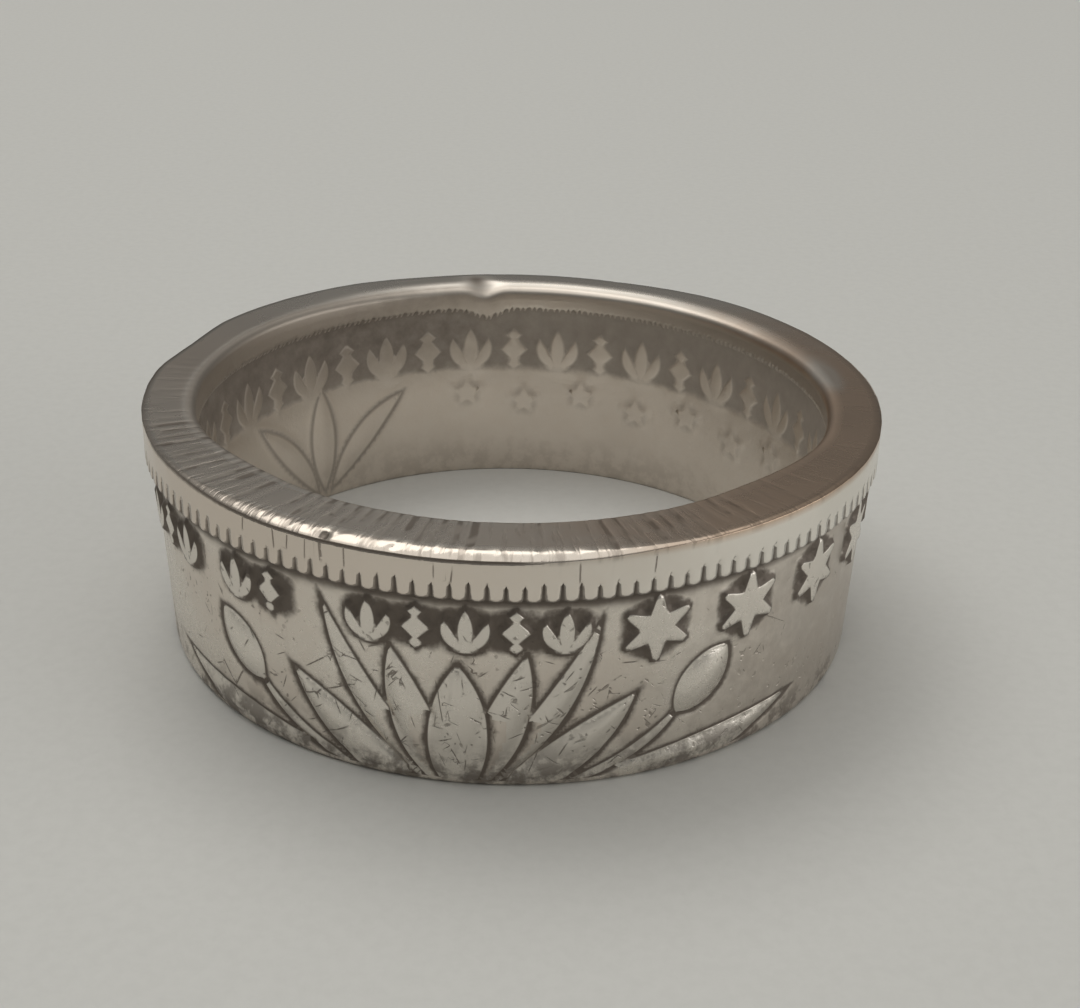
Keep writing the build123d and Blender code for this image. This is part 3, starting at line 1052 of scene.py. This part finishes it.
# %% The finish that the wires belong to
class Finish:
    """One material and the nodes that are added to it."""

    def __init__(self, name):
        self.material = bpy.data.materials.new(name)
        self.material.use_nodes = True
        self.material.node_tree.nodes.clear()

    def node(self, kind, settings, sockets, output=0):
        """Adds a node: its type, its settings and the values or links of its sockets."""
        made = self.material.node_tree.nodes.new("ShaderNode" + kind)
        for name, value in settings.items():
            setattr(made, name, value)
        for key, value in sockets.items():
            if isinstance(value, Wire):
                self.material.node_tree.links.new(value.socket, made.inputs[key])
            else:
                made.inputs[key].default_value = value
        return Wire(self, made.outputs[output])

    def place(self):
        """Where a point of the piece is, in millimetres."""
        metres = self.node("TexCoord", {}, {}, "Object")
        return self.stretched(metres, (1 / MM, 1 / MM, 1 / MM))

    def stretched(self, vector, scale):
        """A vector, multiplied along each axis."""
        return self.node("VectorMath", {"operation": "MULTIPLY"}, {0: vector, 1: scale})

    def cloud(self, vector, scale, detail=2.0, roughness=0.5):
        """Soft random patches, from nought to one."""
        sockets = {"Vector": vector, "Scale": scale, "Detail": detail, "Roughness": roughness}
        return self.node("TexNoise", {}, sockets)

    def ramp(self, value, start, end):
        """Nought before start, one after end, smooth between."""
        settings = {"interpolation_type": "SMOOTHSTEP"}
        return self.node("MapRange", settings, {"Value": value, "From Min": start, "From Max": end})

    def blend(self, share, first, second):
        """A colour between two others."""
        settings = {"data_type": "RGBA"}
        return self.node("Mix", settings, {0: share, 6: first, 7: second}, 2)

    def attribute(self, name):
        """What each point keeps under a name."""
        return self.node("Attribute", {"attribute_name": name}, {}, "Fac")

    def surface(self, sockets):
        """Ends the tree with a Principled surface."""
        shader = self.node("BsdfPrincipled", {}, sockets)
        output = self.material.node_tree.nodes.new("ShaderNodeOutputMaterial")
        self.material.node_tree.links.new(shader.socket, output.inputs["Surface"])

    def tell(self):
        """Prints how many nodes there are so far."""
        print(self.material.name, "has", len(self.material.node_tree.nodes), "nodes")


print("a finish can make:", [name for name in vars(Finish) if not name.startswith("_")])

# %% [markdown]
# ## Worn silver
# Coin silver is a warm pale grey. Years of wear polish whatever stands proud and leave a dark brown
# film in every hollow, with scratches and small pits between. A photograph could be laid on as a
# texture, but it would not follow the relief. The material reads the distances that shaped the wall,
# so the dirt sits exactly in the creases, and noise breaks its edges as wear does.
# Some light and shade is painted into the colour as well: shade under the rim, on the flat top, on the
# rim's left and inside, a dark reflected line under the bevel, and a paler right side of the rim.

# %% Coordinates and patches
# Noise scales, in patches to a millimetre.
PATCH_SCALE = 0.3
MOTTLE_SCALE = 1.7
GRAIN_SCALE = 7
silver = Finish("worn_silver")
spot = silver.place()
around = silver.node("VectorMath", {"operation": "NORMALIZE"}, {0: silver.stretched(spot, (1, 1, 0))})
level = silver.node("SeparateXYZ", {}, {"Vector": spot}, "Z")
to_the_back = silver.node("SeparateXYZ", {}, {"Vector": around}, "Y")
patches = silver.cloud(spot, PATCH_SCALE, 3)
mottle = silver.cloud(spot, MOTTLE_SCALE, 4, 0.6)
grain = silver.cloud(spot, GRAIN_SCALE, 3, 0.6)
patchy = patches - 0.5
mottled = mottle - 0.5
grainy = grain - 0.5


def facing(direction):
    """How far a place on the ring looks in a direction, from -1 to 1."""
    return silver.node("VectorMath", {"operation": "DOT_PRODUCT"}, {0: around, 1: direction}, "Value")


right_share = facing((0.94, -0.34, 0))
left_share = facing((-0.72, -0.69, 0))
back_left = facing((-0.92, 0.40, 0))
back_right = facing((0.95, 0.30, 0))
print("patches about", round(1 / PATCH_SCALE, 1), "mm wide, grain about", round(1 / GRAIN_SCALE, 2), "mm")

# %% Zones of the wall
on_top = silver.attribute("top_face")
on_inside = silver.attribute("inside")
on_rim = silver.attribute("rim")
on_inner_field = silver.attribute("inner_field")
outside_only = (1 - on_top) * (1 - on_inside)
on_wall = outside_only * (1 - on_rim)
on_flat = on_top * (1 - on_rim) * (1 - on_inside)
in_front = silver.ramp(to_the_back, 0.35, -0.35)
silver.tell()

# %% Dirt in the creases and round the figures, and the painted reflection line
DIRT_REACH = 0.16
gap_side = silver.attribute("gap")
# Groove is dirt in slits, corners and nicks, and also the painted reflection line under the bevel.
groove = silver.ramp(silver.attribute("crease") + 0.06 * mottled + 0.05 * grainy, DIRT_REACH, 0.03)
beside = silver.ramp(gap_side - 0.03 * on_inside, -0.04 - 0.05 * on_inside, 0.01 + 0.05 * on_inside)
uneven = 0.60 * mottled + 0.45 * patchy + 0.22 * grainy
soot_share = silver.attribute("soot") + uneven * (1 - 0.7 * on_inside)
film = silver.ramp(soot_share, 0.18, 0.72) * beside * (1 - on_top)
print("dirt fades out", DIRT_REACH, "mm from a crease")

# %% Dirt, painted shade and other darkening that lie in bands
# The wall darkens in patches towards its foot.
low = silver.ramp(level, 2.1, 0.2) * silver.ramp(mottle + 0.5 * patchy + 0.2 * grainy, 0.40, 0.64)
# Painted shade: a darker band on the field just under the overhanging rim, stronger towards the front left.
shade_under_rim = 0.5 * silver.ramp(level + 0.5 * mottled, 6.0, 6.5) + 0.4 * silver.ramp(level, 6.2, 6.44)
shade_under_rim = shade_under_rim * on_wall * beside * (0.45 + 0.55 * silver.ramp(left_share, -0.5, 0.4))
inner_band = silver.ramp(on_inner_field, 0.35, 0.75) * silver.ramp(level + 0.3 * mottled, 4.35, 4.75)
# The outer wall darkens in patches towards its right side.
darker_right_wall = silver.ramp(right_share + 0.5 * mottled, 0.62, 1.0) * on_wall * beside
darker_near_foot = 0.78 * low * (1 - 0.65 * on_inside)
inner_dirt = (0.7 + 0.4 * mottle) * inner_band * beside
# Darkening joins dirt in the creases and round the figures, the dirt band inside, the painted shade under
# the rim, the painted reflection line, and the patchy darkening near the foot and on the right wall.
darkening = most(0.9 * groove, 0.92 * film, darker_near_foot, shade_under_rim, 0.34 * darker_right_wall, inner_dirt)
silver.tell()

# %% Painted shade on the inside, at the back left and the back right
shaded_left = on_inside * silver.ramp(back_left + 0.3 * mottled, 0.30, 0.95) * silver.ramp(level, 3.4, 6.2)
shaded_right = on_inside * (1 - on_top) * silver.ramp(back_right, 0.3, 0.9) * silver.ramp(level, 6.4, 7.1)
silver.tell()

# %% [markdown]
# ## Scratches, streaks and toning of the silver
# Fine scratches show as short dark dashes where dirt has settled in them. Stretched noise makes such
# dashes, and the distances kept by the points draw the longer ones. The top face has streaks across
# it from the worn reeds, and air has toned it brown on the right.
# Painted shade also darkens and warms the flat top and the rim's left side.


# %% Scratches and pits
def dashes(turned, fine, along):
    """Short thin marks, long in one direction."""
    settings = {"rotation_type": "EULER_XYZ"}
    rotation = tuple(math.radians(part) for part in turned)
    rotated = silver.node("VectorRotate", settings, {"Vector": spot, "Rotation": rotation})
    drawn = silver.stretched(rotated, (fine, fine, along))
    return silver.ramp(silver.cloud(drawn, 1.0, 1.0), 0.685, 0.735)


few = silver.ramp(mottle + 0.6 * patchy, 0.46, 0.60) * on_wall
scored = few * most(dashes((0, 38, 0), 5.0, 1.5), dashes((0, -55, 20), 4.4, 1.3))
scratch_side = silver.attribute("score_side") + 0.012 * grainy
cut_in = silver.ramp(abs(scratch_side), 0.042, 0.018) * silver.attribute("score_near")
cut_in = cut_in * silver.ramp(grain + 0.3 * mottled, 0.30, 0.45)
pits = silver.ramp(silver.cloud(spot, 4.2, 1), 0.68, 0.74) * silver.ramp(patches, 0.42, 0.58) * on_wall
silver.tell()

# %% Streaks across the top face
drifting = silver.stretched(spot, (0.8, 0.8, 0.8))
sockets = {0: silver.stretched(around, (44, 44, 0)), 1: drifting}
streaks = silver.cloud(silver.node("VectorMath", {"operation": "ADD"}, sockets), 1.0, 2, 0.55)
hatched = silver.ramp(streaks, 0.50, 0.68) * on_top
hatched = hatched * (1 - 0.8 * on_inside * silver.ramp(left_share, 0.5, 0.1))
hatched = hatched * (0.45 + 0.55 * silver.ramp(left_share, -0.4, 0.6)) * (0.25 + 0.75 * in_front)
broken = 0.50 + 0.50 * silver.ramp(silver.cloud(spot, 1.2, 1), 0.40, 0.56)
strokes = silver.ramp(silver.attribute("stroke") + 0.8 * (streaks - 0.5), 0.10, 0.62) * broken * in_front
silver.tell()

# %% Brown toning, and painted shade on the flat top and the rim's left
clouded = right_share + silver.attribute("patina") + 0.5 * patchy + 0.3 * mottled
toning = silver.ramp(clouded, 0.0, 1.0) * on_top * (1 - 0.7 * on_rim * silver.ramp(right_share, 0.75, 0.25))
inner_toning = on_inside * (0.35 + 0.4 * mottle)
field_toning = outside_only * (1 - on_rim) * beside * (0.5 * silver.ramp(patches, 0.3, 0.7) + 0.5 * mottle)
# Painted shade: the rim is toned browner and darker towards its left side.
shaded_rim_left = on_rim * silver.ramp(left_share + 0.4 * mottled, 0.1, 0.9)
# Painted shade: the flat top face is darkened and warmed everywhere but at the back, less at the front
# left.
shaded_flat_top = on_flat * (0.25 + 0.75 * silver.ramp(to_the_back, 0.9, 0.2))
shaded_flat_top = shaded_flat_top * (1 - 0.4 * silver.ramp(left_share, 0.55, 0.9))
# Warmth mixes real toning with the painted shade of the flat top and of the rim's left.
warmth = most(0.75 * toning, 0.30 * inner_toning, 0.22 * field_toning, 0.30 * shaded_flat_top, 0.24 * shaded_rim_left)
silver.tell()

# %% [markdown]
# ## Colour, gloss and relief of the silver
# All of the masks now meet. Toning warms the colour, dirt and painted shade cover it, and one side
# of the rim is painted paler as if lit. Under dirt and painted shade the silver is rougher and less
# of a metal. A Bump node gives the finest relief, which the mesh is too coarse for, and stays out of
# the polished top face.

# %% Colour
PALE_SILVER = (0.82, 0.77, 0.70, 1)
GREY_SILVER = (0.74, 0.695, 0.63, 1)
LIT_SILVER = (0.90, 0.865, 0.80, 1)
BROWN_TONE = (0.56, 0.37, 0.24, 1)
# Brown of the dirt, used also for all the painted shade.
DIRT_AND_SHADE_BROWN = (0.122, 0.096, 0.076, 1)
# Painted light: the rim band is made paler towards its right side, as if lit there.
lit_rim_right = on_rim * (1 - on_top) * silver.ramp(right_share, -0.6, 0.6)
silver_with_lit_rim = silver.blend(0.6 * lit_rim_right, silver.blend(patches, PALE_SILVER, GREY_SILVER), LIT_SILVER)
# Painted shade: the flat top face is darkened in patches, least where it is toned brown.
flat_shade = shaded_flat_top * (1 - 0.8 * toning) * (0.02 + 0.18 * patches)
# Painted shade: the rubbed bevel at the back left is darkened, so it shows no glint.
shaded_back_corner = on_rim * on_top * silver.ramp(back_left, 0.75, 0.95)
cuts_and_pits = most(0.5 * scored, 0.5 * pits, 0.36 * hatched, 0.7 * cut_in, 0.80 * strokes)
# Marks mix real scratches, pits and reed strokes with the painted shade of the top face, the inside and the
# back corner.
marks_and_shade = most(cuts_and_pits, flat_shade, 0.54 * shaded_left, 0.40 * shaded_right, 0.75 * shaded_back_corner)
stain = silver.attribute("stain")
# Dark joins dirt, the painted shade and the knock's stain. The painted shade on the left inside also
# deepens the dirt there.
dark = most(darkening * (1 - 0.40 * on_inside + 0.30 * shaded_left), marks_and_shade, 0.95 * stain)
colour = silver.blend(dark, silver.blend(warmth, silver_with_lit_rim, BROWN_TONE), DIRT_AND_SHADE_BROWN)
silver.tell()

# %% Gloss, metal and fine relief
LEAST_ROUGHNESS = 0.12
worn = 0.29 + 0.14 * grainy * (1 - on_top) + 0.10 * patchy + 0.25 * dark
roughness = most(worn - 0.03 * on_top + 0.1 * on_inside - 0.09 * on_rim, LEAST_ROUGHNESS)
metallic = 1.0 - 0.5 * most(darkening, stain)
cuts = 0.014 * scored + 0.016 * cut_in + 0.015 * pits + 0.004 * hatched + 0.02 * darkening
height = (0.006 * grain + 0.014 * mottle) * (1 - 0.97 * on_top) - cuts
relief = silver.node("Bump", {}, {"Strength": 1.0, "Distance": MM, "Height": height})
silver.surface({"Base Color": colour, "Metallic": metallic, "Roughness": roughness, "Normal": relief})
ring_mesh.materials.append(silver.material)
silver.tell()

# %% [markdown]
# ## The floor
# The ring stands on a plain pale worktop with a faint mottle. A plane is enough, and it reaches well
# past the picture, because polished silver mirrors it.

# %% Floor
FLOOR_REACH = 1.2
PALE_STONE = (0.70, 0.695, 0.665, 1)
DULL_STONE = (0.675, 0.67, 0.64, 1)
worktop = Finish("pale_worktop")
speckle = worktop.ramp(worktop.cloud(worktop.place(), 2.2, 3, 0.6), 0.3, 0.75)
stone_colour = worktop.blend(speckle, PALE_STONE, DULL_STONE)
worktop.surface({"Base Color": stone_colour, "Roughness": 0.5, "Specular IOR Level": 0.3})
floor_mesh = bpy.data.meshes.new("worktop")
floor_corners = [(x * FLOOR_REACH, y * FLOOR_REACH, 0) for x, y in ((-1, -1), (1, -1), (1, 1), (-1, 1))]
floor_mesh.from_pydata(floor_corners, [], [(0, 1, 2, 3)])
floor_mesh.materials.append(worktop.material)
floor = bpy.data.objects.new("worktop", floor_mesh)
bpy.context.scene.collection.objects.link(floor)
print("floor:", 2 * FLOOR_REACH, "m wide")

# %% [markdown]
# ## Light
# The soft light falls from above and behind, a little from the left, so that the ring shades the
# floor in front of it and its bevel shows one bright line. A metal shows what stands round it, so the
# room is dim near the horizon and pale overhead, as a real room is, with a pale wall on the right.
# Two lamps light the floor but are kept out of reflections: one deepens the ring's shade, and a weak
# one over the bore stands for the light that the polished wall throws down onto the floor inside.

# %% Lamps
LAMP_AIM = (0, 0, 0.004)
BEHIND_ABOVE = (-0.12, 0.19, 0.42)
WARM_WHITE = (1.0, 0.985, 0.95)
ROOM_WHITE = (1.0, 0.99, 0.96)


def soft_lamp(name, position, size, power, colour, mirrored=True):
    """A flat lamp of a given width and depth, which faces the ring. It may be kept out of reflections."""
    lamp = bpy.data.lights.new(name, "AREA")
    lamp.shape = "RECTANGLE"
    lamp.size, lamp.size_y = size
    lamp.energy = power
    lamp.color = colour
    placed = bpy.data.objects.new(name, lamp)
    placed.location = position
    placed.rotation_euler = (Vector(LAMP_AIM) - Vector(position)).to_track_quat("-Z", "Y").to_euler()
    placed.visible_glossy = mirrored
    bpy.context.scene.collection.objects.link(placed)
    print(name, "shines with", power, "W")


soft_lamp("key_lamp", BEHIND_ABOVE, (0.36, 0.19), 0.18, WARM_WHITE)
soft_lamp("shade_lamp", BEHIND_ABOVE, (0.36, 0.26), 0.49, WARM_WHITE, mirrored=False)
soft_lamp("ceiling", (-0.06, 0.04, 0.46), (0.70, 0.50), 0.56, ROOM_WHITE)
soft_lamp("bore_glow", (0, 0, 0.0085), (0.018, 0.018), 0.00015, ROOM_WHITE, mirrored=False)
soft_lamp("pale_wall", (0.50, -0.10, 0.13), (0.50, 0.24), 0.70, ROOM_WHITE)

# %% Surroundings
# Each stop has its place, from the horizon up to the ceiling, and how bright the room is there.
STOPS = ((0.0, 0.08), (0.26, 0.15), (0.42, 0.14), (0.60, 0.25), (0.80, 0.38), (1.0, 0.38))
world = bpy.data.worlds.new("room")
world.use_nodes = True
sky = world.node_tree.nodes
where = sky.new("ShaderNodeTexCoord")
parts = sky.new("ShaderNodeSeparateXYZ")
dusk = sky.new("ShaderNodeValToRGB")
for _ in STOPS[2:]:
    dusk.color_ramp.elements.new(0.5)
for element, (position, grey) in zip(dusk.color_ramp.elements, STOPS):
    element.position = position
    element.color = (grey, grey * 0.995, grey * 0.96, 1)
world.node_tree.links.new(where.outputs["Generated"], parts.inputs["Vector"])
world.node_tree.links.new(parts.outputs["Z"], dusk.inputs["Fac"])
world.node_tree.links.new(dusk.outputs["Color"], sky["Background"].inputs["Color"])
sky["Background"].inputs["Strength"].default_value = 1.0
bpy.context.scene.world = world
bpy.context.scene.view_settings.view_transform = "Standard"
print("room from horizon to ceiling:", [grey for _, grey in STOPS])

# %% [markdown]
# ## Camera
# The camera was fitted to the four edges of the ring in the photograph. It stands 57.5 mm from the
# middle of the top edge, 22 degrees above it, and is turned a little so that the ring sits where the
# photograph has it.

# %% Camera
DISTANCE = 57.5 * MM
RAISED = math.radians(22.097)
TURNED = -0.0168
TIPPED = -0.0701
ROLLED = math.radians(-0.8658)
FOCAL_PIXELS = 1671.1808
PHOTO_WIDTH = 1080
SENSOR_WIDTH = 36

aim = Vector((0, 0, HEIGHT * MM))
camera_place = aim + DISTANCE * Vector((0, -math.cos(RAISED), math.sin(RAISED)))
forward = (aim - camera_place).normalized()
rightward = Vector((1, 0, 0))
upward = rightward.cross(forward)
yaw = Matrix.Rotation(TURNED, 3, upward)
forward, rightward = yaw @ forward, yaw @ rightward
pitch = Matrix.Rotation(TIPPED, 3, rightward)
forward, upward = pitch @ forward, pitch @ upward
roll = Matrix.Rotation(ROLLED, 3, forward)
rightward, upward = roll @ rightward, roll @ upward
camera_axes = Matrix((rightward, upward, -forward)).transposed()
lens = bpy.data.cameras.new("photo_camera")
lens.sensor_width = SENSOR_WIDTH
lens.lens = FOCAL_PIXELS / PHOTO_WIDTH * SENSOR_WIDTH
lens.clip_start = 0.002
lens.clip_end = 10
camera = bpy.data.objects.new("photo_camera", lens)
camera.matrix_world = Matrix.Translation(camera_place) @ camera_axes.to_4x4()
bpy.context.scene.collection.objects.link(camera)
bpy.context.scene.camera = camera
print("camera at, in mm:", [round(v / MM, 2) for v in camera_place], "lens", round(lens.lens, 2))

# %% [markdown]
# ## The size stays true
# The dressed ring stays inside the packed one: its radii and heights were clipped to the packed box before
# the mesh was built.
